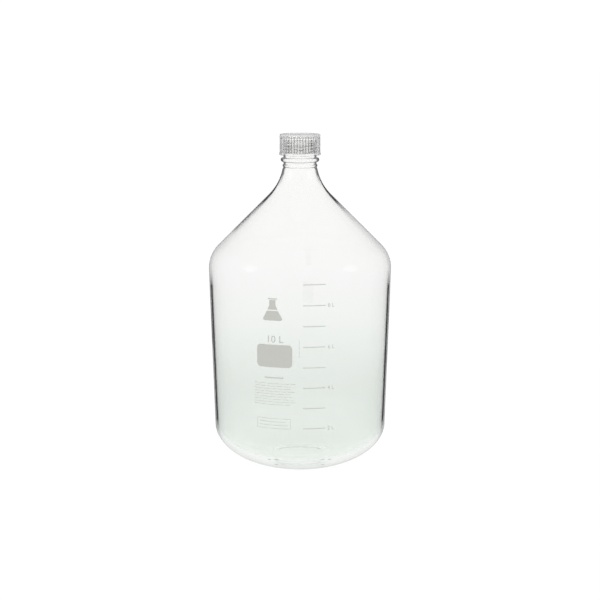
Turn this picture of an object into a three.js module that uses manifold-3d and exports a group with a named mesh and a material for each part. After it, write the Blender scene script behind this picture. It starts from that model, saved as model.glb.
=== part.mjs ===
// A 10 litre laboratory reagent bottle in clear borosilicate glass, with a GL 45 screw neck.
// The bottle is one blown piece: concave base, rounded heel, slightly tapered wall, 45 degree shoulder and a
// thick neck that carries a drip bead, a carrying bead and a round-profile thread. A clear pouring ring snaps over
// the glass lip. A clear ribbed screw cap holds a silicone seal with a PTFE facing against that ring.
// Millimetres, +Z up. The origin is the centre of the foot, on the surface that the bottle stands on, and the
// printed side faces -Y.
import * as THREE from "three";
import { mergeVertices } from "three/addons/utils/BufferGeometryUtils.js";
import Module from "manifold-3d";

// Driving dimensions of the glass.
const GLASS_HEIGHT = 410;
const SHOULDER_RADIUS = 113.6;
const HEEL_RADIUS = 107.8; // outside of the wall where it meets the heel
const WALL = 4;
const BASE_THICKNESS = 6;
const NECK_RADIUS = 20.3; // outside of the neck between its beads and under the thread
const BORE_RADIUS = 15.1;

// Base and heel. The heel is an ellipse that ends on the flat foot.
const FOOT_INNER = 36;
const FOOT_OUTER = 41;
const PUNT_RISE = 5; // how far the middle of the base is pushed up
const HEEL_CENTRE = 14.5;
const HEEL_HEIGHT = 50;

// Shoulder and the concave flare into the neck.
const WALL_TOP = 249;
const SHOULDER_CURVE = 39;
const CONE_ANGLE = 45;
const FLARE_CURVE = 62;
const FLARE_RADIUS = 20.3; // outside radius where the flare would become upright
const FLARE_END = 11; // degrees short of upright at which the flare meets the drip bead
const FLARE_WALL = 5.2; // the glass is thicker where it gathers under the neck
const BORE_END = 30; // depth below the rim where the straight bore starts to widen

// The finish: heights here and below are measured from the glass rim, so they are negative on the glass.
const CARRYING_BEAD = { height: -26.7, radius: 2.8, reach: 23.8 };
const DRIP_BEAD = { height: -34, radius: 2.1, reach: 21.5 };
const LIP = { radius: 19.3, bottom: -3.9, rounding: 1.6, grooveRadius: 18.4, grooveWidth: 2.4 };

// The GL 45 thread, and the cap's thread that runs in it.
const PITCH = 4;
const THREAD_STEPS = 24; // per turn
const THREAD_FADE = 0.14; // share of a turn over which a thread runs out
const THREAD_ROOTING = 0.6; // how deep a thread's foot is sunk in the wall that carries it
const GLASS_THREAD = { start: -8, turns: 2.5, height: 1.8, foot: 2.6, crest: 1.1 };
const CAP_THREAD = { drop: 1.75, turns: 2.5, height: 1.5, foot: 2, crest: 0.8 };

// The closure.
const CLEARANCE = 0.1;
const RING_TOP = 1.1; // flat top of the pouring ring above the glass rim
const RING_FLANGE = 0.9;
const RING_RIDGE = 0.2; // the sealing ridge on that flat top
const RING_COLLAR = { radius: 14.9, wall: 1, depth: 9 };
const RING_SKIRT = { radius: 20.4, wall: 0.8, depth: 5.2, snap: 0.5 };
const SEAL_RADIUS = 20.7;
const FACING_THICKNESS = 0.3;
const SEAL_THICKNESS = 1.2;
const CAP_TOP = 4.5;
const CAP_BOTTOM = -21;
const CAP_RIB_COUNT = 44;
const CAP_RIB_CREST = 25;
const CAP_RIB_ROOT = 24.25;
const CAP_COLLAR = { radius: 25.5, height: 3.2, inner: 23.6, relief: 2.4 };
const CAP_BORE = 22.8;
const CAP_RECESS = 21.2; // radius of the seat that holds the seal
const CAP_EDGE = 1.1; // bevel round the top of the cap
const CAP_PANEL = { radius: 20.5, depth: 0.4 }; // shallow round panel in the top

const SIDES = 48; // of every turned surface

const wasm = await Module();
wasm.setup();

const degrees = THREE.MathUtils.degToRad;

// Points of an elliptical arc in (radius, height), from one angle to another in degrees.
function arc(centreR, centreH, radiusR, radiusH, from, to, steps) {
  return Array.from({ length: steps + 1 }, (_, i) => {
    const angle = degrees(from + ((to - from) * i) / steps);
    return new THREE.Vector2(centreR + radiusR * Math.cos(angle), centreH + radiusH * Math.sin(angle));
  });
}

const point = (radius, height) => new THREE.Vector2(radius, height);

// A solid turned about Z from a profile that runs up its outside and back down its inside.
function turned(profile, sides) {
  return new THREE.LatheGeometry(profile, sides).rotateX(Math.PI / 2);
}

function toSolid(geometry) {
  const source = geometry.index ? geometry.toNonIndexed() : geometry;
  const bare = new THREE.BufferGeometry().setAttribute("position", source.getAttribute("position"));
  const merged = mergeVertices(bare, 1e-4);
  const triVerts = new Uint32Array(merged.index.array);
  return new wasm.Manifold(new wasm.Mesh({ numProp: 3, vertProperties: merged.attributes.position.array, triVerts }));
}

function toGeometry(solid) {
  const mesh = solid.getMesh();
  return new THREE.BufferGeometry()
    .setAttribute("position", new THREE.BufferAttribute(mesh.vertProperties, 3))
    .setIndex(new THREE.BufferAttribute(mesh.triVerts, 1));
}

// A thread ridge: its section is extruded straight, then wrapped round Z as a right-hand helix. It stands out from
// the wall when side is 1 and starts at its upper end; it stands inwards when side is -1 and starts at its lower end.
function threadRidge(thread, wallRadius, start, side) {
  const { turns, height, foot, crest } = thread;
  const section = new THREE.Shape([
    point(0, -foot / 2),
    point(THREAD_ROOTING, -foot / 2),
    point(THREAD_ROOTING + height * 0.8, -crest / 2 - 0.15),
    point(THREAD_ROOTING + height, -crest / 4),
    point(THREAD_ROOTING + height, crest / 4),
    point(THREAD_ROOTING + height * 0.8, crest / 2 + 0.15),
    point(THREAD_ROOTING, foot / 2),
    point(0, foot / 2),
  ]);
  const steps = Math.round(turns * THREAD_STEPS);
  const geometry = new THREE.ExtrudeGeometry(section, { depth: turns, steps, bevelEnabled: false });
  const position = geometry.getAttribute("position");
  for (let i = 0; i < position.count; i++) {
    const along = position.getZ(i);
    const fade = Math.min(1, Math.min(along, turns - along) / THREAD_FADE);
    const reach = position.getX(i) * THREE.MathUtils.lerp(0.1, 1, fade) - THREAD_ROOTING;
    const radius = wallRadius + side * reach;
    const angle = -side * along * 2 * Math.PI;
    const height = start + position.getY(i) - side * along * PITCH;
    position.setXYZ(i, radius * Math.cos(angle), radius * Math.sin(angle), height);
  }
  return geometry;
}

// The outside of the glass, from the middle of the base up to the lip.
function glassOutside() {
  const puntCurve = (FOOT_INNER ** 2 + PUNT_RISE ** 2) / (2 * PUNT_RISE);
  const puntAngle = THREE.MathUtils.radToDeg(Math.asin(FOOT_INNER / puntCurve));
  const heelWidth = HEEL_RADIUS - HEEL_CENTRE;
  const footShare = (FOOT_OUTER - HEEL_CENTRE) / heelWidth;
  const heelDepth = HEEL_HEIGHT / Math.sqrt(1 - footShare ** 2);
  const heelStart = -THREE.MathUtils.radToDeg(Math.acos(footShare));
  const cone = coneOf(0);
  const rim = GLASS_HEIGHT;
  const beads = [DRIP_BEAD, CARRYING_BEAD].flatMap((bead) => {
    const centre = bead.reach - bead.radius;
    const sunk = THREE.MathUtils.radToDeg(Math.acos((NECK_RADIUS - centre) / bead.radius));
    return arc(centre, rim + bead.height, bead.radius, bead.radius, -sunk, sunk, 4);
  });
  return [
    ...arc(0, PUNT_RISE - puntCurve, puntCurve, puntCurve, 90, 90 - puntAngle, 2),
    ...arc(HEEL_CENTRE, HEEL_HEIGHT, heelWidth, heelDepth, heelStart, 0, 8),
    ...arc(SHOULDER_RADIUS - SHOULDER_CURVE, WALL_TOP, SHOULDER_CURVE, SHOULDER_CURVE, 0, CONE_ANGLE, 4),
    ...arc(cone.flareCentre, cone.flareHeight, FLARE_CURVE, FLARE_CURVE, 180 + CONE_ANGLE, 180 + FLARE_END, 5),
    ...beads,
    point(NECK_RADIUS, rim + LIP.bottom - LIP.grooveWidth),
    point(LIP.grooveRadius, rim + LIP.bottom - LIP.grooveWidth / 2),
    point(LIP.radius, rim + LIP.bottom),
    ...arc(LIP.radius - LIP.rounding, rim - LIP.rounding, LIP.rounding, LIP.rounding, 0, 90, 3),
  ];
}

// Where the shoulder's cone meets the flare, for the surface that lies inset below the outside.
function coneOf(inset) {
  const slope = degrees(CONE_ANGLE);
  const curve = SHOULDER_CURVE - inset;
  const topRadius = SHOULDER_RADIUS - SHOULDER_CURVE + curve * Math.cos(slope);
  const topHeight = WALL_TOP + curve * Math.sin(slope);
  const flareCentre = FLARE_RADIUS + FLARE_CURVE;
  const flareCurve = FLARE_CURVE + inset;
  const endRadius = flareCentre - flareCurve * Math.cos(slope);
  const endHeight = topHeight + (topRadius - endRadius) / Math.tan(slope);
  return { flareCentre, flareHeight: endHeight + flareCurve * Math.sin(slope) };
}

// The inside of the glass, from the lip down to the middle of the base.
function glassInside() {
  const heelWidth = HEEL_RADIUS - HEEL_CENTRE - WALL;
  const floor = PUNT_RISE + BASE_THICKNESS;
  const heelDepth = HEEL_HEIGHT - BASE_THICKNESS;
  const shoulderCurve = SHOULDER_CURVE - WALL;
  const cone = coneOf(WALL);
  const flareInside = FLARE_CURVE + FLARE_WALL;
  return [
    ...arc(BORE_RADIUS + LIP.rounding, GLASS_HEIGHT - LIP.rounding, LIP.rounding, LIP.rounding, 90, 180, 2),
    point(BORE_RADIUS, GLASS_HEIGHT - BORE_END),
    ...arc(cone.flareCentre, cone.flareHeight, flareInside, FLARE_CURVE + WALL, 188, 180 + CONE_ANGLE, 4),
    ...arc(SHOULDER_RADIUS - SHOULDER_CURVE, WALL_TOP, shoulderCurve, shoulderCurve, CONE_ANGLE, 0, 4),
    ...arc(HEEL_CENTRE, HEEL_HEIGHT, heelWidth, heelDepth, 0, -80, 6),
    point(0, floor),
  ];
}

function glassBottle() {
  const body = toSolid(turned([...glassOutside(), ...glassInside()], SIDES));
  const ridge = threadRidge(GLASS_THREAD, NECK_RADIUS, GLASS_HEIGHT + GLASS_THREAD.start, 1);
  return toGeometry(body.add(toSolid(ridge)));
}

// The pouring ring: a collar inside the bore, a flange on the rim and a skirt that snaps under the glass lip.
function pouringRing() {
  const { radius: collar, wall, depth } = RING_COLLAR;
  const skirt = RING_SKIRT;
  const flangeBottom = RING_TOP - RING_FLANGE;
  const ridgeRadius = 17.6;
  const ridgeHalf = 0.7;
  const profile = [
    point(collar - wall, -depth),
    point(collar - wall * 0.3, -depth),
    point(collar, -depth + 1.2),
    point(collar, flangeBottom - 0.6),
    point(collar + 1.2, flangeBottom),
    point(skirt.radius - skirt.wall, flangeBottom),
    point(skirt.radius - skirt.wall, LIP.bottom),
    point(skirt.radius - skirt.wall - skirt.snap, LIP.bottom - 0.6),
    point(skirt.radius - skirt.wall, -skirt.depth),
    point(skirt.radius, -skirt.depth),
    point(skirt.radius, RING_TOP - 0.5),
    point(skirt.radius - 0.5, RING_TOP),
    point(ridgeRadius + ridgeHalf, RING_TOP),
    point(ridgeRadius, RING_TOP + RING_RIDGE),
    point(ridgeRadius - ridgeHalf, RING_TOP),
    point(collar - wall + 0.8, RING_TOP),
    point(collar - wall, RING_TOP - 0.8),
    point(collar - wall, -depth),
  ];
  return turned(profile, SIDES);
}

const FACING_BOTTOM = RING_TOP + RING_RIDGE + CLEARANCE;
const SEAL_BOTTOM = FACING_BOTTOM + FACING_THICKNESS;
const SEAL_TOP = SEAL_BOTTOM + SEAL_THICKNESS;

function disc(radius, bottom, thickness, edge) {
  const profile = [
    point(0, bottom),
    point(radius - edge, bottom),
    point(radius, bottom + edge),
    point(radius, bottom + thickness - edge),
    point(radius - edge, bottom + thickness),
    point(0, bottom + thickness),
  ];
  return turned(profile, SIDES);
}

// The gripping surface of the cap: an outline with straight-sided ribs, extruded over the height of the cap.
function ribbedBarrel() {
  const pitch = 360 / CAP_RIB_COUNT;
  const corners = [
    [CAP_RIB_ROOT, 0],
    [CAP_RIB_ROOT, 0.26],
    [CAP_RIB_CREST, 0.44],
    [CAP_RIB_CREST, 0.82],
  ];
  const outline = Array.from({ length: CAP_RIB_COUNT }, (_, rib) =>
    corners.map(([radius, share]) => {
      const angle = degrees((rib + share) * pitch);
      return point(radius * Math.cos(angle), radius * Math.sin(angle));
    }),
  ).flat();
  const depth = CAP_TOP - CAP_BOTTOM;
  return new THREE.ExtrudeGeometry(new THREE.Shape(outline), { depth, bevelEnabled: false }).translate(0, 0, CAP_BOTTOM);
}

function screwCap() {
  const collarTop = CAP_BOTTOM + CAP_COLLAR.height;
  const panelFloor = CAP_TOP - CAP_PANEL.depth;
  const envelope = toSolid(
    turned(
      [
        point(0, CAP_BOTTOM),
        point(CAP_RIB_CREST + 1, CAP_BOTTOM),
        point(CAP_RIB_CREST + 1, CAP_TOP - CAP_EDGE - 1),
        point(CAP_RIB_CREST - CAP_EDGE, CAP_TOP),
        point(CAP_PANEL.radius, CAP_TOP),
        point(CAP_PANEL.radius - CAP_PANEL.depth, panelFloor),
        point(0, panelFloor),
      ],
      SIDES,
    ),
  );
  const collar = toSolid(
    turned(
      [
        point(0, CAP_BOTTOM),
        point(CAP_COLLAR.radius - 0.5, CAP_BOTTOM),
        point(CAP_COLLAR.radius, CAP_BOTTOM + 0.5),
        point(CAP_COLLAR.radius, collarTop - 0.7),
        point(CAP_RIB_ROOT, collarTop),
        point(0, collarTop),
      ],
      SIDES,
    ),
  );
  const ceiling = SEAL_TOP + CLEARANCE;
  const seatBottom = FACING_BOTTOM - 1.2;
  const cavity = toSolid(
    turned(
      [
        point(0, CAP_BOTTOM - 1),
        point(CAP_COLLAR.inner, CAP_BOTTOM - 1),
        point(CAP_COLLAR.inner, CAP_BOTTOM + CAP_COLLAR.relief - 0.8),
        point(CAP_BORE, CAP_BOTTOM + CAP_COLLAR.relief),
        point(CAP_BORE, seatBottom - 1.6),
        point(CAP_RECESS, seatBottom),
        point(CAP_RECESS, ceiling),
        point(0, ceiling),
      ],
      SIDES,
    ),
  );
  const threadStart = GLASS_THREAD.start - CAP_THREAD.drop - 2 * PITCH + PITCH / 4;
  const ridge = toSolid(threadRidge(CAP_THREAD, CAP_BORE, threadStart, -1).rotateZ(Math.PI / 2));
  const barrel = toSolid(ribbedBarrel()).intersect(envelope);
  return toGeometry(barrel.add(collar).subtract(cavity).add(ridge));
}

const clearGlass = new THREE.MeshStandardMaterial({
  color: 0xe9f1ee,
  roughness: 0.03,
  metalness: 0,
  transparent: true,
  opacity: 0.35,
});
const clearPlastic = new THREE.MeshStandardMaterial({
  color: 0xe6e7e4,
  roughness: 0.18,
  metalness: 0,
  transparent: true,
  opacity: 0.55,
});
const silicone = new THREE.MeshStandardMaterial({ color: 0xdedfdb, roughness: 0.55, metalness: 0 });
const fluoropolymer = new THREE.MeshStandardMaterial({ color: 0xf2f2ee, roughness: 0.4, metalness: 0 });

function part(name, geometry, material) {
  const mesh = new THREE.Mesh(geometry, material);
  mesh.name = name;
  return mesh;
}

const finish = new THREE.Group(); // its origin is the centre of the glass rim
finish.position.z = GLASS_HEIGHT;
finish.add(
  part("pouring_ring", pouringRing(), clearPlastic),
  part("seal_facing", disc(SEAL_RADIUS, FACING_BOTTOM, FACING_THICKNESS, 0.05), fluoropolymer),
  part("seal_disc", disc(SEAL_RADIUS, SEAL_BOTTOM, SEAL_THICKNESS, 0.2), silicone),
  part("screw_cap", screwCap(), clearPlastic),
);

const bottle = new THREE.Group();
bottle.add(part("glass_bottle", glassBottle(), clearGlass), finish);

export default bottle;
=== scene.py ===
"""A clear glass 10 litre reagent bottle with a fired enamel print, a pouring ring and a clear screw cap.

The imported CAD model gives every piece's place. This script makes the fine surface of each piece, its
material, the print on the glass, and a bright studio round it. Shapes are worked out in millimetres and
made in metres. Angles are in degrees unless they say otherwise.
"""

import math

import bmesh
import bpy
from mathutils import Matrix, Vector


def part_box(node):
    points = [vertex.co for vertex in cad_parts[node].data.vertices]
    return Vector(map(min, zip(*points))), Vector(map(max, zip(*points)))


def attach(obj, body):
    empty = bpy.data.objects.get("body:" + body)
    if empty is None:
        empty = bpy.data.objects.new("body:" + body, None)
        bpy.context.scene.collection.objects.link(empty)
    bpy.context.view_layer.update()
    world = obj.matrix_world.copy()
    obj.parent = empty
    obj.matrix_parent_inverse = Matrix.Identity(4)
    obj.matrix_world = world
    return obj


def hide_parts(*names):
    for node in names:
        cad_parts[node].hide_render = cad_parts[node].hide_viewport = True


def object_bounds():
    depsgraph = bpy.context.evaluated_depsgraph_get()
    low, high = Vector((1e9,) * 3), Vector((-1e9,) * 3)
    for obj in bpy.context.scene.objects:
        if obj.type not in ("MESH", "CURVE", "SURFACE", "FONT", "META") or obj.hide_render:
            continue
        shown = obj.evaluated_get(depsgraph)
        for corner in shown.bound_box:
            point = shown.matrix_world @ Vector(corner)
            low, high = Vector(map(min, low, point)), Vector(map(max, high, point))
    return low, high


MM = 0.001
TURN = 2 * math.pi

# The glass, as in the CAD source. Heights are from the foot, but those of lip and beads from the rim.
RIM = 410.0
SHOULDER_RADIUS = 113.6
HEEL_RADIUS = 107.8
WALL = 4.0
BASE_THICKNESS = 6.0
NECK_RADIUS = 20.3
BORE_RADIUS = 15.1
FOOT_INNER = 36.0
FOOT_OUTER = 41.0
PUNT_RISE = 5.0
HEEL_CENTRE = 14.5
HEEL_HEIGHT = 50.0
WALL_TOP = 249.0
SHOULDER_CURVE = 39.0
CONE_ANGLE = 45.0
FLARE_CURVE = 62.0
FLARE_RADIUS = 20.3
FLARE_END = 11.0  # how far from upright the flare meets the neck
FLARE_WALL = 5.2
INNER_FLARE_END = 8.0
INNER_HEEL_END = -80.0  # where on its arc the heel meets the pushed-up floor inside
BORE_END = 30.0  # depth under the rim
LIP_RADIUS = 19.3
LIP_BOTTOM = -3.9
LIP_ROUNDING = 1.6
LIP_GROOVE = 18.4
LIP_GROOVE_WIDTH = 2.4
BEADS = ((-34.0, 2.1, 21.5), (-26.7, 2.8, 23.8))  # height, radius, reach from the axis
BEAD_MARGIN = 1.0  # how far over the upper bead the neck is plain again

# The threads. Heights are from the glass rim.
PITCH = 4.0
THREAD_FADE = 0.14  # share of a turn in which a thread runs out at its ends
GLASS_THREAD = {"start": -8.0, "turns": 2.5, "height": 1.8, "foot": 2.6, "crest": 0.55}
CAP_THREAD = {"start": -16.75, "turns": 2.5, "height": 1.5, "foot": 2.0, "crest": 0.4}
CAP_THREAD_PHASE = 0.25  # share of a turn by which the cap's thread starts later
THREAD_MARGINS = {"glass": 0.2, "cap": 0.05}  # how near the wall a point lies if it carries thread

# The closure, with heights from the glass rim.
RING_TOP = 1.1
RING_FLANGE = 0.9
RING_RIDGE = 0.2
RING_COLLAR = 14.9
RING_COLLAR_WALL = 1.0
RING_COLLAR_DEPTH = 9.0
RING_LEAD_IN = 0.3
RING_LEAD_DEPTH = 1.2
RING_FILLET = 1.2
RING_SKIRT = 20.4
RING_SKIRT_WALL = 0.8
RING_SKIRT_DEPTH = 5.2
RING_SNAP = 0.5
RING_SNAP_DEPTH = 0.6
RING_EDGE = 0.5
RING_MOUTH_EDGE = 0.8
RING_RIDGE_RADIUS = 17.6
RING_RIDGE_REACH = 0.7
CAP_RIBS = 44
CAP_RIB_CREST = 25.0
CAP_RIB_DEPTH = 0.5
CAP_RIB_POINT = 1.8  # the higher, the narrower are the grooves
CAP_RIB_FOOT = 0.2
CAP_RIB_FADE = 0.5  # height over the collar in which the grooves set in
CAP_COLLAR_RADIUS = 25.5
CAP_COLLAR_HEIGHT = 3.2
CAP_COLLAR_TOP_EDGE = 0.6
CAP_COLLAR_FOOT_EDGE = 0.5
CAP_COLLAR_INNER = 23.6
CAP_COLLAR_RELIEF = 2.4
CAP_COLLAR_SLOPE = 0.8
CAP_BORE = 22.8
CAP_RECESS = 21.2
CAP_SEAT_DROP = 1.2  # how far the recess starts below the seal
CAP_SEAT_SLOPE = 1.6
CAP_CEILING_GAP = 0.1
CAP_EDGE = 1.1
CAP_PANEL_RADIUS = 20.5
CAP_PANEL_DEPTH = 0.4
DISC_EDGE = 0.3
FACING_EDGE = 0.06
SEAL_GAP = 0.03  # air above each disc, so that light leaves one piece before it enters the next

# How fine the surfaces are.
GLASS_SEGMENTS = 176
CAP_SEGMENTS = 8 * CAP_RIBS
SHARP_ANGLE = math.radians(38)
PUNT_STEPS = 8
HEEL_STEPS = 28
SHOULDER_STEPS = 12
FLARE_STEPS = 14
INNER_HEEL_STEPS = 22
INNER_FLARE_STEPS = 12
BEAD_STEPS = 10
LIP_STEPS = 6
EDGE_STEPS = 4
GRIP_EDGE_STEPS = 5
FINISH_STEP = 0.55  # this and the next four are the longest stretches of an outline, in millimetres
RING_STEP = 1.0
DISC_STEP = 4.0
CAP_STEP = 2.0
CAP_INNER_STEP = 0.45
ON_AXIS = 1e-6  # a smaller radius counts as none

# The print. Across is measured round the wall from the front, and up from the foot. Four numbers are left,
# low, right and high.
PRINT_LIFT = 0.02
PRINT_THICKNESS = 0.04
TEXT_WEIGHT = 0.004  # how far the strokes of figures are spread, as a share of their size
TEXT_STEPS = 4
PRINT_STEP = 2.0  # how often the print is cut so that it bends round the wall
SCALE_FIRST = 70.8  # height of the 2 litre line
SCALE_STEP = 25.15
SCALE_LINES = 8
SCALE_LEFT = 3.6
SCALE_LENGTH = 27.0
SCALE_STROKE = 0.95
LABEL_LEFT = 33.2
LABEL_SIZE = 6.6
LABEL_DROP = 0.35  # how far a figure starts below its line, as a share of its size
PANEL = (-53.0, 146.0, -9.2, 173.8)
PANEL_CORNER = 5.0
PANEL_STEPS = 8
VOLUME_PLACE = (-41.2, 176.3)
VOLUME_SIZE = 12.2
MARK_CENTRE = (-33.0, 216.5)
MARK_HEIGHT = 27.0
MARK_NECK = 0.14  # this and the next five are shares of the mark's height
MARK_FOOT = 0.44
MARK_LEVEL = 0.06
MARK_GAP = 0.05
MARK_SHOULDER = 0.2
MARK_CORNER = 0.09
MARK_LIP = 1.5  # width of the flask's lip, in necks
MARK_STEPS = 6
NOTE_BAR = (-43.4, 132.5, -19.7, 134.0)
NOTE_LEFT = -57.0
NOTE_RIGHT = -5.4
NOTE_TOP = 126.0
NOTE_ROWS = 9
NOTE_STEP = 3.25
NOTE_STROKE = 0.55
NOTE_WORD = 5  # length of the shortest stroke
NOTE_SPREAD = 7  # strokes and the ends of rows differ by less than this
NOTE_GAP = 1.1
NOTE_REST = 2  # a shorter rest of a row stays empty
SIDE_NOTE = (-1.2, 159.0, 182.0)  # across, low and high
SIDE_WORD = 3
SIDE_SPREAD = 4
SIDE_GAP = 1.0
SIDE_REST = 1
BOX = (-53.3, 70.0, -11.4, 82.7)
BOX_STROKE = 0.45
BOX_MARGIN = 3

# The glass's colour by height in millimetres: a faint green tint, with painted shade that makes it darker
# low on the body. Its outside also has painted shade by how far it faces away from the eye, by one ramp on
# the body, one on the shoulder's cone and one on the thick neck. EDGE_SHARE is how much of that there is
# at each height. CONE_SHARE and NECK_SHARE are where those ramps take over.
GLASS_TINTS_AND_PAINTED_SHADE = (
    (0, (0.89, 0.916, 0.89)),
    (22, (0.92, 0.946, 0.92)),
    (31, (0.907, 0.931, 0.907)),
    (47, (0.892, 0.926, 0.899)),
    (62, (0.872, 0.9, 0.875)),
    (81, (0.866, 0.893, 0.87)),
    (116, (0.887, 0.907, 0.886)),
    (150, (0.917, 0.94, 0.922)),
    (179, (0.945, 0.955, 0.943)),
    (236, (0.965, 0.968, 0.963)),
    (290, (0.983, 0.984, 0.978)),
    (410, (0.985, 0.985, 0.98)),
)
BODY_PAINTED_EDGE_SHADE = (
    (0.4, 1.0),
    (0.58, 0.95),
    (0.68, 0.82),
    (0.73, 0.45),
    (0.76, 0.0),
    (0.83, 0.0),
    (0.87, 0.5),
    (1.0, 0.6),
)
CONE_PAINTED_EDGE_SHADE = ((0.5, 1.0), (0.62, 0.95), (0.68, 0.5), (0.71, 0.0), (0.95, 0.0), (1.0, 0.2))
NECK_PAINTED_EDGE_SHADE = ((0.32, 1.0), (0.45, 0.88), (0.54, 0.08), (0.8, 0.0), (0.95, 0.1), (1.0, 0.3))
EDGE_SHARE = (
    (0, 0.08),
    (38, 0.12),
    (60, 1.0),
    (232, 1.0),
    (250, 0.35),
    (265, 0.2),
    (300, 0.15),
    (318, 0.4),
    (332, 1.0),
    (410, 1.0),
)
CONE_SHARE = ((0, 0.0), (262, 0.0), (300, 1.0), (410, 1.0))
NECK_SHARE = ((0, 0.0), (350, 0.0), (366, 1.0), (410, 1.0))

# Painted shade on the plastic, by how far it faces away, and by how far it lies from the axis: dark in the
# grooves between the ribs and along the thread, but not on top of the cap.
PLASTIC_PAINTED_EDGE_SHADE = ((0.0, 0.99), (0.2, 0.97), (0.35, 0.82), (0.6, 0.42), (1.0, 0.25))
PLASTIC_CLEAR = (0.98, 0.98, 0.98)
CAP_SHADE = (
    (20.9, 0.98),
    (21.6, 0.64),
    (22.3, 0.97),
    (24.3, 0.96),
    (24.5, 0.15),
    (24.65, 0.45),
    (24.85, 0.98),
)
CAP_SHADE_SHARE = ((0, 1.0), (411.5, 1.0), (413.0, 0.0))

GLASS_IOR = 1.473
PLASTIC_IOR = 1.49
SILICONE_IOR = 1.41
SILICONE_CLEARNESS = 0.5

# The studio, in metres.
WHITE = (1, 1, 1, 1)
BLACK = (0, 0, 0, 1)
WORLD_LIGHT = 1.02
FLOOR_SIZE = 60
FLOOR_GLOW = 0.86
FLOOR_COLOUR = 0.16
FLOOR_GRAIN = 1.02  # how much paler the floor's pale spots are
FLAG_GREY = 0.17
FLAG_RADIUS = 40.0
FLAG_SEGMENTS = 48
CARD_LIGHT = 0.85
CARD_TILT = math.radians(20)  # how high over the horizon the dome is white, behind the set
CARD_EDGE = (0.93, 0.97)  # cosines of the angles at which the white has faded out and is full
UNDER_LIGHT = 0.65
UNDER_EDGE = (-0.45, -0.3)  # sines of the slopes between which the dome turns pale underneath
SOFTBOX_PLACE = (1.9, -0.73, 1.17)
SOFTBOX_AIM = (0, 0, 0.26)
SOFTBOX_SIZE = 0.8
SOFTBOX_POWER = 0.8
LIGHT_BOUNCES = 128  # light runs far inside thick glass before it comes out
DIFFUSE_BOUNCES = 16

# The camera, in metres, with its lens and sensor in millimetres.
CAMERA_DISTANCE = 1.651
CAMERA_HEIGHT = 0.527
CAMERA_PITCH = 10.97
CAMERA_LENS = 80.3
CAMERA_SENSOR = 36

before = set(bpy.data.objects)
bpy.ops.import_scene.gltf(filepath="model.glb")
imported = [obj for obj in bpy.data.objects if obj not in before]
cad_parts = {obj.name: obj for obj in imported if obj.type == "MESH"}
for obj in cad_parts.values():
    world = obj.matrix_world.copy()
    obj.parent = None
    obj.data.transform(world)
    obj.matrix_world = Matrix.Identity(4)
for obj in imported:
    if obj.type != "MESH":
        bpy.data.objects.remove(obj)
cad_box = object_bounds()
FULL_HEIGHT = cad_box[1].z / MM
CAP_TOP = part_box("screw_cap")[1].z / MM - RIM
CAP_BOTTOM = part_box("screw_cap")[0].z / MM - RIM


# ---- turned surfaces ----


def arc(centre_r, centre_h, radius_r, radius_h, start, end, steps):
    """Points of an elliptical arc in (radius, height), from one angle to another in degrees."""
    points = []
    for i in range(steps + 1):
        angle = math.radians(start + (end - start) * i / steps)
        points.append((centre_r + radius_r * math.cos(angle), centre_h + radius_h * math.sin(angle)))
    return points


def round_arc(centre_r, centre_h, radius, start, end, steps=EDGE_STEPS):
    """Points of a circular arc in (radius, height)."""
    return arc(centre_r, centre_h, radius, radius, start, end, steps)


def softened(points, share=0.25):
    """The same outline with each inner corner cut once, which rounds it."""
    out = [points[0]]
    for a, b in zip(points, points[1:]):
        out.append((a[0] + (b[0] - a[0]) * share, a[1] + (b[1] - a[1]) * share))
        out.append((b[0] - (b[0] - a[0]) * share, b[1] - (b[1] - a[1]) * share))
    out.append(points[-1])
    return out


def refined(points, longest):
    """The same outline with long stretches divided."""
    out = [points[0]]
    for a, b in zip(points, points[1:]):
        count = max(1, math.ceil(math.dist(a, b) / longest))
        for i in range(1, count + 1):
            out.append((a[0] + (b[0] - a[0]) * i / count, a[1] + (b[1] - a[1]) * i / count))
    return out


def turned(name, outline, segments, closed=False, shape=None):
    """A surface turned about Z from an outline in (radius, height).

    The outline starts and ends on the axis, or closes on itself. shape gives the radius of a point from its
    row, radius, height and angle.
    """
    mesh = bpy.data.meshes.new(name)
    bm = bmesh.new()
    rings = []
    for row, (radius, height) in enumerate(outline):
        if radius < ON_AXIS:
            rings.append([bm.verts.new((0, 0, height * MM))])
            continue
        ring = []
        for i in range(segments):
            angle = TURN * i / segments
            r = shape(row, radius, height, angle) if shape else radius
            ring.append(bm.verts.new((r * math.cos(angle) * MM, r * math.sin(angle) * MM, height * MM)))
        rings.append(ring)
    pairs = list(zip(rings, rings[1:]))
    if closed:
        pairs.append((rings[-1], rings[0]))
    for a, b in pairs:
        for i in range(segments):
            j = (i + 1) % segments
            square = [a[i % len(a)], a[j % len(a)], b[j % len(b)], b[i % len(b)]]
            corners = list(dict.fromkeys(square))
            if len(corners) > 2:
                bm.faces.new(corners)
    bmesh.ops.recalc_face_normals(bm, faces=bm.faces)
    bm.to_mesh(mesh)
    bm.free()
    mesh.polygons.foreach_set("use_smooth", [True] * len(mesh.polygons))
    mesh.set_sharp_from_angle(angle=SHARP_ANGLE)
    obj = bpy.data.objects.new(name, mesh)
    bpy.context.scene.collection.objects.link(obj)
    return obj


def split_materials(obj, first):
    """Gives every face from the numbered one on the second material, which is the inside's."""
    for face in obj.data.polygons:
        face.material_index = int(face.index >= first)


def bump_of(thread, along, offset):
    """How far a thread stands out at a distance above or below its middle, at a place along its turns."""
    if not 0 < along < thread["turns"]:
        return 0.0
    fade = min(1.0, along / THREAD_FADE, (thread["turns"] - along) / THREAD_FADE)
    half = thread["foot"] / 2
    flat = thread["crest"] / 2
    t = min(1.0, max(0.0, (half - abs(offset)) / (half - flat)))
    return thread["height"] * fade * t * t * (3 - 2 * t) ** 0.5


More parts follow.
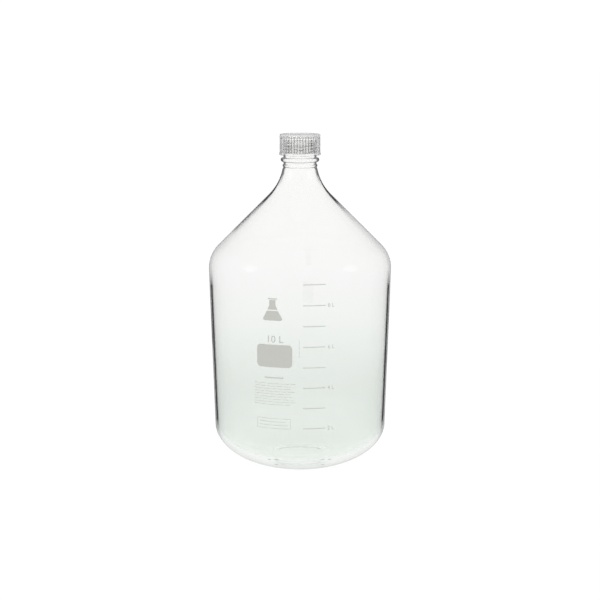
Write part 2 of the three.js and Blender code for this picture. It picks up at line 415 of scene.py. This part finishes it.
def glass_thread(height, angle):
    """Height of the neck's thread over the neck at a point."""
    best = 0.0
    for turn in range(1, math.ceil(GLASS_THREAD["turns"]) + 1):
        along = turn - angle / TURN
        middle = RIM + GLASS_THREAD["start"] - along * PITCH
        best = max(best, bump_of(GLASS_THREAD, along, height - middle))
    return best


def cap_thread(height, angle):
    """Height of the cap's thread over the cap's bore at a point."""
    best = 0.0
    for turn in range(-1, math.ceil(CAP_THREAD["turns"]) + 1):
        along = angle / TURN - CAP_THREAD_PHASE + turn
        middle = RIM + CAP_THREAD["start"] + along * PITCH
        best = max(best, bump_of(CAP_THREAD, along, height - middle))
    return best


# ---- the glass ----


def flare_of(inset):
    """Centre of the flare between cone and neck, for the surface that lies so far inside the outside."""
    slope = math.radians(CONE_ANGLE)
    curve = SHOULDER_CURVE - inset
    top_radius = SHOULDER_RADIUS - SHOULDER_CURVE + curve * math.cos(slope)
    top_height = WALL_TOP + curve * math.sin(slope)
    centre = FLARE_RADIUS + FLARE_CURVE
    reach = FLARE_CURVE + inset
    end_radius = centre - reach * math.cos(slope)
    end_height = top_height + (top_radius - end_radius) / math.tan(slope)
    return centre, end_height + reach * math.sin(slope)


def glass_outside():
    """The outline from the middle of the pushed-up base to the top of the lip."""
    punt = (FOOT_INNER**2 + PUNT_RISE**2) / (2 * PUNT_RISE)  # radius of the pushed-up base's sphere
    punt_angle = math.degrees(math.asin(FOOT_INNER / punt))
    width = HEEL_RADIUS - HEEL_CENTRE
    share = (FOOT_OUTER - HEEL_CENTRE) / width
    depth = HEEL_HEIGHT / math.sqrt(1 - share**2)
    centre, height = flare_of(0)
    shoulder = SHOULDER_RADIUS - SHOULDER_CURVE
    body = [
        *round_arc(0, PUNT_RISE - punt, punt, 90, 90 - punt_angle, PUNT_STEPS),
        *arc(HEEL_CENTRE, HEEL_HEIGHT, width, depth, -math.degrees(math.acos(share)), 0, HEEL_STEPS),
        *round_arc(shoulder, WALL_TOP, SHOULDER_CURVE, 0, CONE_ANGLE, SHOULDER_STEPS),
        *round_arc(centre, height, FLARE_CURVE, 180 + CONE_ANGLE, 180 + FLARE_END, FLARE_STEPS),
    ]
    body[0] = (0.0, PUNT_RISE)
    foot = slice(PUNT_STEPS - 2, PUNT_STEPS + 5)
    body[foot] = softened(softened(body[foot]))  # rounds both edges of the foot
    finish = []
    for bead_height, radius, reach in BEADS:
        middle = reach - radius
        sunk = math.degrees(math.acos((NECK_RADIUS - middle) / radius))
        finish += round_arc(middle, RIM + bead_height, radius, -sunk, sunk, BEAD_STEPS)
    finish += [
        (NECK_RADIUS, RIM + BEADS[1][0] + BEADS[1][1] + BEAD_MARGIN),
        (NECK_RADIUS, RIM + LIP_BOTTOM - LIP_GROOVE_WIDTH),
        (LIP_GROOVE, RIM + LIP_BOTTOM - LIP_GROOVE_WIDTH / 2),
        (LIP_RADIUS, RIM + LIP_BOTTOM),
        *round_arc(LIP_RADIUS - LIP_ROUNDING, RIM - LIP_ROUNDING, LIP_ROUNDING, 0, 90, LIP_STEPS),
    ]
    return body + softened(refined(finish, FINISH_STEP))


def glass_inside():
    """The outline from the top of the lip down to the middle of the floor."""
    width = HEEL_RADIUS - HEEL_CENTRE - WALL
    depth = HEEL_HEIGHT - BASE_THICKNESS
    floor = PUNT_RISE + BASE_THICKNESS
    centre, height = flare_of(WALL)
    shoulder = SHOULDER_RADIUS - SHOULDER_CURVE
    curve = SHOULDER_CURVE - WALL
    flare = FLARE_CURVE + FLARE_WALL
    flare_height = FLARE_CURVE + WALL
    lip = BORE_RADIUS + LIP_ROUNDING
    return [
        *round_arc(lip, RIM - LIP_ROUNDING, LIP_ROUNDING, 90, 180, LIP_STEPS),
        (BORE_RADIUS, RIM - BORE_END),
        *arc(centre, height, flare, flare_height, 180 + INNER_FLARE_END, 180 + CONE_ANGLE, INNER_FLARE_STEPS),
        *round_arc(shoulder, WALL_TOP, curve, CONE_ANGLE, 0, SHOULDER_STEPS),
        *arc(HEEL_CENTRE, HEEL_HEIGHT, width, depth, 0, INNER_HEEL_END, INNER_HEEL_STEPS),
        (0.0, floor),
    ]


def make_glass():
    outside = glass_outside()
    thread_top = RIM + GLASS_THREAD["start"] + GLASS_THREAD["foot"]
    thread_bottom = RIM + GLASS_THREAD["start"] - GLASS_THREAD["turns"] * PITCH - GLASS_THREAD["foot"]

    def threaded(row, radius, height, angle):
        on_neck = row < len(outside) and abs(radius - NECK_RADIUS) < THREAD_MARGINS["glass"]
        if on_neck and thread_bottom < height < thread_top:
            return radius + glass_thread(height, angle)
        return radius

    glass = turned("bottle_glass", outside + glass_inside(), GLASS_SEGMENTS, shape=threaded)
    split_materials(glass, GLASS_SEGMENTS * len(outside))
    return glass


# ---- the closure ----


def make_pouring_ring():
    inner = RING_COLLAR - RING_COLLAR_WALL
    mouth = RING_MOUTH_EDGE
    skirt_inner = RING_SKIRT - RING_SKIRT_WALL
    under = RING_TOP - RING_FLANGE
    outline = [
        (inner, -RING_COLLAR_DEPTH),
        (RING_COLLAR - RING_LEAD_IN, -RING_COLLAR_DEPTH),
        (RING_COLLAR, -RING_COLLAR_DEPTH + RING_LEAD_DEPTH),
        (RING_COLLAR, under - RING_FILLET / 2),
        (RING_COLLAR + RING_FILLET, under),
        (skirt_inner, under),
        (skirt_inner, LIP_BOTTOM),
        (skirt_inner - RING_SNAP, LIP_BOTTOM - RING_SNAP_DEPTH),
        (skirt_inner, -RING_SKIRT_DEPTH),
        (RING_SKIRT, -RING_SKIRT_DEPTH),
        *round_arc(RING_SKIRT - RING_EDGE, RING_TOP - RING_EDGE, RING_EDGE, 0, 90),
        *arc(RING_RIDGE_RADIUS, RING_TOP, RING_RIDGE_REACH, RING_RIDGE, 0, 180, LIP_STEPS),
        *round_arc(inner + mouth, RING_TOP - mouth, mouth, 90, 180),
    ]
    outline = [(r, h + RIM) for r, h in refined(outline + outline[:1], RING_STEP)[:-1]]
    return turned("pouring_ring_clear", outline, GLASS_SEGMENTS, closed=True)


def make_disc(name, node, edge):
    """A disc with rounded edges that fills its CAD node's box but for a hair's breadth on top."""
    low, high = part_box(node)
    bottom, top, radius = low.z / MM, high.z / MM - SEAL_GAP, high.x / MM
    outline = [
        (0.0, bottom),
        *round_arc(radius - edge, bottom + edge, edge, -90, 0),
        *round_arc(radius - edge, top - edge, edge, 0, 90),
        (0.0, top),
    ]
    return turned(name, refined(outline, DISC_STEP), GLASS_SEGMENTS)


def rib_depth(angle):
    """How deep the gripping surface lies below the crests of its ribs."""
    place = (angle / TURN * CAP_RIBS) % 1.0
    wave = 0.5 + 0.5 * math.cos(TURN * place)
    return CAP_RIB_DEPTH * wave**CAP_RIB_POINT


def make_cap():
    """The cap, with its ribs and collar outside and its thread and seal recess inside."""
    collar_top = CAP_BOTTOM + CAP_COLLAR_HEIGHT
    panel_floor = CAP_TOP - CAP_PANEL_DEPTH
    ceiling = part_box("seal_disc")[1].z / MM - RIM + CAP_CEILING_GAP
    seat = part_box("seal_facing")[0].z / MM - RIM - CAP_SEAT_DROP
    grip_top = CAP_TOP - CAP_EDGE
    top_edge = CAP_COLLAR_TOP_EDGE
    foot_edge = CAP_COLLAR_FOOT_EDGE
    outside = [
        (0.0, panel_floor),
        (CAP_PANEL_RADIUS - CAP_PANEL_DEPTH, panel_floor),
        (CAP_PANEL_RADIUS, CAP_TOP),
        *round_arc(CAP_RIB_CREST - CAP_EDGE, grip_top, CAP_EDGE, 90, 0, GRIP_EDGE_STEPS),
        (CAP_RIB_CREST, collar_top + CAP_RIB_FADE),
        (CAP_RIB_CREST - CAP_RIB_FOOT, collar_top),
        *round_arc(CAP_COLLAR_RADIUS - top_edge, collar_top - top_edge, top_edge, 90, 0),
        *round_arc(CAP_COLLAR_RADIUS - foot_edge, CAP_BOTTOM + foot_edge, foot_edge, 0, -90),
    ]
    inside = [
        (CAP_COLLAR_INNER, CAP_BOTTOM),
        (CAP_COLLAR_INNER, CAP_BOTTOM + CAP_COLLAR_RELIEF - CAP_COLLAR_SLOPE),
        (CAP_BORE, CAP_BOTTOM + CAP_COLLAR_RELIEF),
        (CAP_BORE, seat - CAP_SEAT_SLOPE),
        (CAP_RECESS, seat),
        (CAP_RECESS, ceiling),
        (0.0, ceiling),
    ]
    outside = refined(outside, CAP_STEP)
    outline = [(r, h + RIM) for r, h in outside + refined(inside, CAP_INNER_STEP)]

    def shaped(row, radius, height, angle):
        if row >= len(outside):
            on_bore = abs(radius - CAP_BORE) < THREAD_MARGINS["cap"]
            return radius - cap_thread(height, angle) if on_bore else radius
        over_collar = min(1.0, max(0.0, (height - RIM - collar_top) / CAP_RIB_FADE))
        near_edge = min(1.0, max(0.0, (radius - CAP_RIB_CREST + CAP_EDGE) / CAP_EDGE))
        return radius - rib_depth(angle) * over_collar * near_edge

    cap = turned("cap_clear", outline, CAP_SEGMENTS, shape=shaped)
    split_materials(cap, CAP_SEGMENTS * len(outside))
    return cap


# ---- the print ----


def wall_radius(height):
    """Radius of the glass, which widens evenly from the heel to the shoulder."""
    return HEEL_RADIUS + (SHOULDER_RADIUS - HEEL_RADIUS) * (height - HEEL_HEIGHT) / (WALL_TOP - HEEL_HEIGHT)


def wrapped(name, bm):
    """Makes a piece of a flat shape, bent round the wall: across in X, up in Y and thick in Z."""
    steps = int(SHOULDER_RADIUS / PRINT_STEP)
    for i in range(-steps, steps + 1):
        geometry = bm.verts[:] + bm.edges[:] + bm.faces[:]
        bmesh.ops.bisect_plane(bm, geom=geometry, plane_co=(i * PRINT_STEP, 0, 0), plane_no=(1, 0, 0))
    for vertex in bm.verts:
        across, up, thick = vertex.co
        radius = wall_radius(up)
        angle = across / radius
        r = radius + PRINT_LIFT + thick
        vertex.co = (r * math.sin(angle) * MM, -r * math.cos(angle) * MM, up * MM)
    mesh = bpy.data.meshes.new(name)
    bmesh.ops.recalc_face_normals(bm, faces=bm.faces)
    bm.to_mesh(mesh)
    bm.free()
    obj = bpy.data.objects.new(name, mesh)
    bpy.context.scene.collection.objects.link(obj)
    return obj


def add_polygon(bm, points):
    """Adds a flat polygon with the print's thickness."""
    face = bm.faces.new([bm.verts.new((x, y, 0)) for x, y in points])
    grown = bmesh.ops.extrude_face_region(bm, geom=[face])
    for item in grown["geom"]:
        if isinstance(item, bmesh.types.BMVert):
            item.co.z = PRINT_THICKNESS


def add_bar(bm, left, low, right, high):
    add_polygon(bm, [(left, low), (right, low), (right, high), (left, high)])


def rounded_box(left, low, right, high, corner):
    """Corner points of a rectangle with round corners, anticlockwise."""
    points = []
    for x, y, start in (
        (right - corner, low + corner, -90),
        (right - corner, high - corner, 0),
        (left + corner, high - corner, 90),
        (left + corner, low + corner, 180),
    ):
        points += round_arc(x, y, corner, start, start + 90, PANEL_STEPS)
    return points


def add_frame(bm, left, low, right, high, stroke):
    """Adds the outline of a rectangle as four bars."""
    add_bar(bm, left, low, right, low + stroke)
    add_bar(bm, left, high - stroke, right, high)
    add_bar(bm, left, low + stroke, left + stroke, high - stroke)
    add_bar(bm, right - stroke, low + stroke, right, high - stroke)


def add_text(bm, text, left, low, size):
    """Adds figures or a unit letter with the print's thickness."""
    curve = bpy.data.curves.new("figures", "FONT")
    curve.body = text
    curve.size = size
    curve.resolution_u = TEXT_STEPS
    curve.offset = TEXT_WEIGHT * size
    curve.extrude = PRINT_THICKNESS / 2
    carrier = bpy.data.objects.new("figures", curve)
    bpy.context.scene.collection.objects.link(carrier)
    mesh = carrier.to_mesh()
    mesh.transform(Matrix.Translation((left, low, PRINT_THICKNESS / 2)))
    bm.from_mesh(mesh)
    carrier.to_mesh_clear()
    bpy.data.objects.remove(carrier)
    bpy.data.curves.remove(curve)


def print_scale():
    """A line for every litre from the second, with figures at every other one."""
    bm = bmesh.new()
    for i in range(SCALE_LINES):
        height = SCALE_FIRST + i * SCALE_STEP
        right = SCALE_LEFT + SCALE_LENGTH
        add_bar(bm, SCALE_LEFT, height - SCALE_STROKE / 2, right, height + SCALE_STROKE / 2)
        if i % 2 == 0:
            litres = i + 2
            add_text(bm, f"{litres} L", LABEL_LEFT, height - LABEL_SIZE * LABEL_DROP, LABEL_SIZE)
    return wrapped("print_scale", bm)


def print_panel():
    bm = bmesh.new()
    add_polygon(bm, rounded_box(*PANEL, PANEL_CORNER))
    return wrapped("print_writing_panel", bm)


def print_volume():
    bm = bmesh.new()
    add_text(bm, "10 L", *VOLUME_PLACE, VOLUME_SIZE)
    return wrapped("print_volume", bm)


def print_mark():
    """A plain pictogram of a conical flask, with a gap for the liquid's level and one under the lip."""
    x, y = MARK_CENTRE
    top = y + MARK_HEIGHT / 2
    base = y - MARK_HEIGHT / 2
    neck = MARK_NECK * MARK_HEIGHT
    foot = MARK_FOOT * MARK_HEIGHT
    level = y - MARK_LEVEL * MARK_HEIGHT
    gap = MARK_GAP * MARK_HEIGHT
    shoulder = y + MARK_SHOULDER * MARK_HEIGHT
    corner = MARK_CORNER * MARK_HEIGHT
    upper = level + gap
    lip = MARK_LIP * neck
    under_lip = top - 1.5 * gap

    def half_width(height):
        return neck + (foot - neck) * (shoulder - height) / (shoulder - base)

    bm = bmesh.new()
    add_bar(bm, x - lip, top - gap, x + lip, top)
    add_polygon(
        bm,
        [
            (x - half_width(upper), upper),
            (x + half_width(upper), upper),
            (x + neck, shoulder),
            (x + neck, under_lip),
            (x - neck, under_lip),
            (x - neck, shoulder),
        ],
    )
    add_polygon(
        bm,
        [
            (x - half_width(level), level),
            *round_arc(x - foot + corner, base + corner, corner, 180, 270, MARK_STEPS),
            *round_arc(x + foot - corner, base + corner, corner, 270, 360, MARK_STEPS),
            (x + half_width(level), level),
        ],
    )
    return wrapped("print_mark", bm)


def print_notes():
    """A short bar and rows of plain strokes, where the small print is. Their lengths vary like words."""
    bm = bmesh.new()
    add_bar(bm, *NOTE_BAR)
    for row in range(NOTE_ROWS):
        height = NOTE_TOP - row * NOTE_STEP
        right = NOTE_RIGHT - row * 5 % NOTE_SPREAD
        left = NOTE_LEFT
        stroke = 0
        while left < right - NOTE_REST:
            length = NOTE_WORD + (row * 3 + stroke * 5) % NOTE_SPREAD
            end = min(right, left + length)
            add_bar(bm, left, height - NOTE_STROKE / 2, end, height + NOTE_STROKE / 2)
            left = end + NOTE_GAP
            stroke += 1
    return wrapped("print_notes", bm)


def print_side_note():
    """A faint upright row of strokes beside the panel."""
    bm = bmesh.new()
    across, low, high = SIDE_NOTE
    stroke = 0
    while low < high - SIDE_REST:
        end = min(high, low + SIDE_WORD + stroke * 5 % SIDE_SPREAD)
        add_bar(bm, across, low, across + NOTE_STROKE, end)
        low = end + SIDE_GAP
        stroke += 1
    return wrapped("print_side_note", bm)


def print_box():
    """An outlined box with two plain strokes in it."""
    bm = bmesh.new()
    left, low, right, high = BOX
    add_frame(bm, *BOX, BOX_STROKE)
    third = (high - low) / 3
    for i in (1, 2):
        height = low + i * third
        end = right - i * BOX_MARGIN
        add_bar(bm, left + BOX_MARGIN, height - NOTE_STROKE / 2, end, height + NOTE_STROKE / 2)
    return wrapped("print_box", bm)


# ---- materials ----


MIX_FACTOR, MIX_FIRST, MIX_SECOND, MIX_RESULT = 0, 6, 7, 2  # a Mix node's sockets for colours


class Nodes:
    """A material's node tree, with short ways to add and join nodes."""

    def __init__(self, name):
        self.material = bpy.data.materials.new(name)
        self.material.use_nodes = True
        self.tree = self.material.node_tree
        self.surface = self.tree.nodes["Principled BSDF"]
        self.place = self.add("ShaderNodeTexCoord").outputs["Object"]

    def add(self, kind, **values):
        node = self.tree.nodes.new(kind)
        for key, value in values.items():
            node.inputs[key.replace("_", " ")].default_value = value
        return node

    def join(self, source, target):
        self.tree.links.new(source, target)

    def noise(self, scale, detail=3.0, stretch=None):
        """Even noise from 0 to 1. A stretch below 1 draws it out along that axis."""
        node = self.add("ShaderNodeTexNoise", Scale=scale, Detail=detail)
        place = self.place
        if stretch:
            mapping = self.add("ShaderNodeMapping", Scale=stretch)
            self.join(self.place, mapping.inputs["Vector"])
            place = mapping.outputs["Vector"]
        self.join(place, node.inputs["Vector"])
        return node.outputs["Fac"]

    def ranged(self, source, low, high, start=0.0, end=1.0):
        """A value that goes from low to high while the source goes from start to end."""
        node = self.add("ShaderNodeMapRange", From_Min=start, From_Max=end, To_Min=low, To_Max=high)
        self.join(source, node.inputs["Value"])
        return node.outputs["Result"]

    def mixed(self, factor, first, second, blend="MIX"):
        """Two colours or colour outputs mixed by an output or a share."""
        node = self.tree.nodes.new("ShaderNodeMix")
        node.data_type = "RGBA"
        node.blend_type = blend
        for socket, value in ((MIX_FACTOR, factor), (MIX_FIRST, first), (MIX_SECOND, second)):
            if isinstance(value, bpy.types.NodeSocket):
                self.join(value, node.inputs[socket])
            else:
                node.inputs[socket].default_value = (*value, 1) if isinstance(value, tuple) else value
        return node.outputs[MIX_RESULT]

    def ramp(self, source, stops):
        """A colour ramp through (place, grey or colour) stops."""
        node = self.tree.nodes.new("ShaderNodeValToRGB")
        elements = node.color_ramp.elements
        while len(elements) < len(stops):
            elements.new(0.5)
        for element, (place, colour) in zip(elements, stops):
            element.position = place
            element.color = (*colour, 1) if isinstance(colour, tuple) else (colour, colour, colour, 1)
        self.join(source, node.inputs["Fac"])
        return node.outputs["Color"]

    def height(self, top):
        """0 at the foot, 1 at a height in millimetres."""
        split = self.tree.nodes.new("ShaderNodeSeparateXYZ")
        self.join(self.place, split.inputs[0])
        return self.ranged(split.outputs["Z"], 0.0, 1.0, 0.0, top * MM)

    def from_axis(self, near, far):
        """0 at one distance from the axis in millimetres, 1 at another."""
        flat = self.add("ShaderNodeVectorMath")
        flat.operation = "MULTIPLY"
        self.join(self.place, flat.inputs[0])
        flat.inputs[1].default_value = (1, 1, 0)
        length = self.add("ShaderNodeVectorMath")
        length.operation = "LENGTH"
        self.join(flat.outputs["Vector"], length.inputs[0])
        return self.ranged(length.outputs["Value"], 0.0, 1.0, near * MM, far * MM)

    def facing(self, stops):
        """A grey by how far the surface turns from the eye, used as painted shade on edges."""
        return self.ramp(self.add("ShaderNodeLayerWeight", Blend=0.5).outputs["Facing"], stops)

    def mottled(self, scale, dark, pale):
        """Gives the surface a colour that varies between two by noise."""
        self.join(self.mixed(self.noise(scale), dark, pale), self.surface.inputs["Base Color"])

    def roughened(self, scale, low, high):
        """Gives the surface a roughness that varies between two by noise."""
        self.join(self.ranged(self.noise(scale), low, high), self.surface.inputs["Roughness"])

    def bumped(self, source, strength, distance):
        node = self.add("ShaderNodeBump", Strength=strength, Distance=distance)
        self.join(source, node.inputs["Height"])
        self.join(node.outputs["Normal"], self.surface.inputs["Normal"])


def by_height(stops):
    """Stops in millimetres as stops of a ramp from the foot to the top."""
    return [(height / FULL_HEIGHT, value) for height, value in stops]


def clear_glass(name, outside):
    """Borosilicate glass: faintly green, with painted shade that makes it darker in the lower half, and a
    little uneven from blowing.

    Its outside has painted shade where it turns away, least on the shoulder and under the heel.
    """
    n = Nodes(name)
    n.surface.inputs["Transmission Weight"].default_value = 1.0
    n.surface.inputs["IOR"].default_value = GLASS_IOR
    height = n.height(FULL_HEIGHT)
    # painted shade: the height ramp makes the glass darker low on the body, over its faint green tint
    colour = n.ramp(height, by_height(GLASS_TINTS_AND_PAINTED_SHADE))
    # painted shade: the outside darkens where it turns away from the eye, by ramps that change with height
    if outside:
        edge = n.facing(BODY_PAINTED_EDGE_SHADE)
        for share, stops in ((CONE_SHARE, CONE_PAINTED_EDGE_SHADE), (NECK_SHARE, NECK_PAINTED_EDGE_SHADE)):
            edge = n.mixed(n.ramp(height, by_height(share)), edge, n.facing(stops))
        edge = n.mixed(n.ramp(height, by_height(EDGE_SHARE)), WHITE[:3], edge)
        colour = n.mixed(1.0, colour, edge, "MULTIPLY")
    n.join(colour, n.surface.inputs["Base Color"])
    n.roughened(scale=60, low=0.0, high=0.02)
    n.bumped(n.noise(scale=14, detail=2.0, stretch=(1, 1, 0.4)), strength=0.2, distance=0.001)
    return n.material


def clear_plastic(name, outside):
    """Clear moulded plastic with faint flow lines, with painted shade in the cap's grooves, along its thread
    and where its outside turns away.
    """
    n = Nodes(name)
    n.surface.inputs["Transmission Weight"].default_value = 1.0
    n.surface.inputs["IOR"].default_value = PLASTIC_IOR
    near = CAP_SHADE[0][0]
    far = CAP_COLLAR_RADIUS
    # painted shade in the grooves between the ribs and along the thread, by distance from the axis
    shade = n.ramp(n.from_axis(near, far), [((r - near) / (far - near), grey) for r, grey in CAP_SHADE])
    share = n.ramp(n.height(FULL_HEIGHT), by_height(CAP_SHADE_SHARE))
    colour = n.mixed(share, PLASTIC_CLEAR, shade)
    if outside:
        # painted shade where the outside turns away from the eye
        colour = n.mixed(1.0, colour, n.facing(PLASTIC_PAINTED_EDGE_SHADE), "MULTIPLY")
    n.join(colour, n.surface.inputs["Base Color"])
    n.roughened(scale=90, low=0.0, high=0.03)
    n.bumped(n.noise(scale=40, detail=2.0, stretch=(1, 1, 0.3)), strength=0.1, distance=0.0003)
    return n.material


def silicone():
    """Milky silicone with a fine matte skin."""
    n = Nodes("silicone")
    n.surface.inputs["Transmission Weight"].default_value = SILICONE_CLEARNESS
    n.surface.inputs["IOR"].default_value = SILICONE_IOR
    n.mottled(scale=400, dark=(0.9, 0.905, 0.89), pale=(0.96, 0.96, 0.95))
    n.roughened(scale=900, low=0.2, high=0.35)
    n.bumped(n.noise(scale=2500), strength=0.2, distance=0.00008)
    return n.material


def fluoropolymer():
    """White PTFE film with faint skiving lines."""
    n = Nodes("fluoropolymer")
    n.mottled(scale=250, dark=(0.9, 0.895, 0.87), pale=(0.96, 0.955, 0.94))
    n.roughened(scale=700, low=0.3, high=0.45)
    n.bumped(n.noise(scale=1200, detail=2.0, stretch=(0.05, 1, 1)), strength=0.2, distance=0.00005)
    return n.material


def enamel():
    """Fired white enamel: warm pale grey, matte and faintly grained."""
    n = Nodes("enamel")
    n.mottled(scale=900, dark=(0.5, 0.505, 0.47), pale=(0.595, 0.6, 0.56))
    n.roughened(scale=1500, low=0.5, high=0.75)
    n.bumped(n.noise(scale=4000), strength=0.3, distance=0.00005)
    return n.material


# ---- the studio ----


def make_floor():
    """A wide pale table that glows as well, so that the glass is seen against white.

    Reflections see the dome in its place.
    """
    bpy.ops.mesh.primitive_plane_add(size=FLOOR_SIZE)
    floor = bpy.context.object
    floor.name = "studio_floor"
    n = Nodes("studio_floor")
    n.mottled(scale=3, dark=(FLOOR_COLOUR,) * 3, pale=(FLOOR_COLOUR * FLOOR_GRAIN,) * 3)
    n.surface.inputs["Roughness"].default_value = 1.0
    n.surface.inputs["Specular IOR Level"].default_value = 0.0
    n.surface.inputs["Emission Color"].default_value = WHITE
    n.surface.inputs["Emission Strength"].default_value = FLOOR_GLOW
    floor.data.materials.append(n.material)
    floor.visible_glossy = False


def dome_light(n):
    """The dome's light by direction: grey all round, but white behind the set and pale underneath."""
    towards_card = n.add("ShaderNodeVectorMath")
    towards_card.operation = "DOT_PRODUCT"
    n.join(n.place, towards_card.inputs[0])
    towards_card.inputs[1].default_value = (0, math.cos(CARD_TILT), math.sin(CARD_TILT))
    low, full = (cosine * FLAG_RADIUS for cosine in CARD_EDGE)
    card = n.ranged(towards_card.outputs["Value"], FLAG_GREY, CARD_LIGHT, low, full)
    split = n.add("ShaderNodeSeparateXYZ")
    n.join(n.place, split.inputs[0])
    deep, shallow = (sine * FLAG_RADIUS for sine in UNDER_EDGE)
    below = n.ranged(split.outputs["Z"], UNDER_LIGHT, FLAG_GREY, deep, shallow)
    brighter = n.add("ShaderNodeMath")
    brighter.operation = "MAXIMUM"
    n.join(card, brighter.inputs[0])
    n.join(below, brighter.inputs[1])
    return brighter.outputs["Value"]


def make_flag():
    """A grey dome round the set that only reflections see, so that clear pieces get dark edges."""
    bpy.ops.mesh.primitive_uv_sphere_add(
        segments=FLAG_SEGMENTS, ring_count=FLAG_SEGMENTS // 2, radius=FLAG_RADIUS
    )
    flag = bpy.context.object
    flag.name = "studio_flag"
    n = Nodes("studio_flag")
    n.surface.inputs["Base Color"].default_value = BLACK
    n.surface.inputs["Specular IOR Level"].default_value = 0.0
    n.surface.inputs["Emission Color"].default_value = WHITE
    n.join(dome_light(n), n.surface.inputs["Emission Strength"])
    flag.data.materials.append(n.material)
    flag.visible_camera = False
    flag.visible_diffuse = False
    flag.visible_transmission = False
    flag.visible_shadow = False


def add_softbox(name, side):
    """A round lamp on one side of the set, -1 for the left and 1 for the right."""
    light = bpy.data.lights.new(name, "AREA")
    light.shape = "DISK"
    light.size = SOFTBOX_SIZE
    light.energy = SOFTBOX_POWER
    obj = bpy.data.objects.new(name, light)
    x, y, z = SOFTBOX_PLACE
    obj.location = (side * x, y, z)
    obj.rotation_euler = (Vector(SOFTBOX_AIM) - obj.location).to_track_quat("-Z", "Y").to_euler()
    bpy.context.scene.collection.objects.link(obj)


def make_world():
    world = bpy.data.worlds.new("studio")
    world.use_nodes = True
    background = world.node_tree.nodes["Background"]
    background.inputs["Color"].default_value = WHITE
    background.inputs["Strength"].default_value = WORLD_LIGHT
    bpy.context.scene.world = world


def make_camera():
    data = bpy.data.cameras.new("camera")
    data.lens = CAMERA_LENS
    data.sensor_width = CAMERA_SENSOR
    camera = bpy.data.objects.new("camera", data)
    camera.location = (0, -CAMERA_DISTANCE, CAMERA_HEIGHT)
    camera.rotation_euler = (math.radians(90 - CAMERA_PITCH), 0, 0)
    bpy.context.scene.collection.objects.link(camera)
    bpy.context.scene.camera = camera


# ---- the scene ----

PIECES = (
    (make_glass(), "bottle", "glass_bottle", "clear_glass"),
    (make_pouring_ring(), "bottle", "pouring_ring", "clear_plastic"),
    (make_cap(), "cap", "screw_cap", "clear_plastic"),
    (make_disc("seal_silicone", "seal_disc", DISC_EDGE), "seal", "seal_disc", "silicone"),
    (make_disc("seal_film", "seal_facing", FACING_EDGE), "seal", "seal_facing", "fluoropolymer"),
)
plastic = clear_plastic("clear_plastic", True)
plastic_inside = clear_plastic("clear_plastic_inside", False)
MATERIALS = {
    "glass_bottle": (clear_glass("clear_glass", True), clear_glass("clear_glass_inside", False)),
    "pouring_ring": (plastic_inside,),
    "screw_cap": (plastic, plastic_inside),
    "seal_disc": (silicone(),),
    "seal_facing": (fluoropolymer(),),
}
for piece, body, node, slot in PIECES:
    for material in MATERIALS[node]:
        piece.data.materials.append(material)
    piece.visible_shadow = slot == "fluoropolymer"  # light passes the clear pieces
    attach(piece, body)
    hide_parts(node)

fired = enamel()
PRINTS = (print_scale, print_panel, print_volume, print_mark, print_notes, print_side_note, print_box)
for make in PRINTS:
    piece = make()
    piece.data.materials.append(fired)
    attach(piece, "bottle")

make_floor()
make_flag()
make_world()
add_softbox("left_softbox", -1)
add_softbox("right_softbox", 1)
make_camera()
bpy.context.scene.view_settings.view_transform = "Standard"
light_paths = bpy.context.scene.cycles
light_paths.max_bounces = 2 * LIGHT_BOUNCES
light_paths.transmission_bounces = LIGHT_BOUNCES
light_paths.glossy_bounces = LIGHT_BOUNCES
light_paths.diffuse_bounces = DIFFUSE_BOUNCES
light_paths.blur_glossy = 0.0  # blurring would darken what lies behind the clear pieces
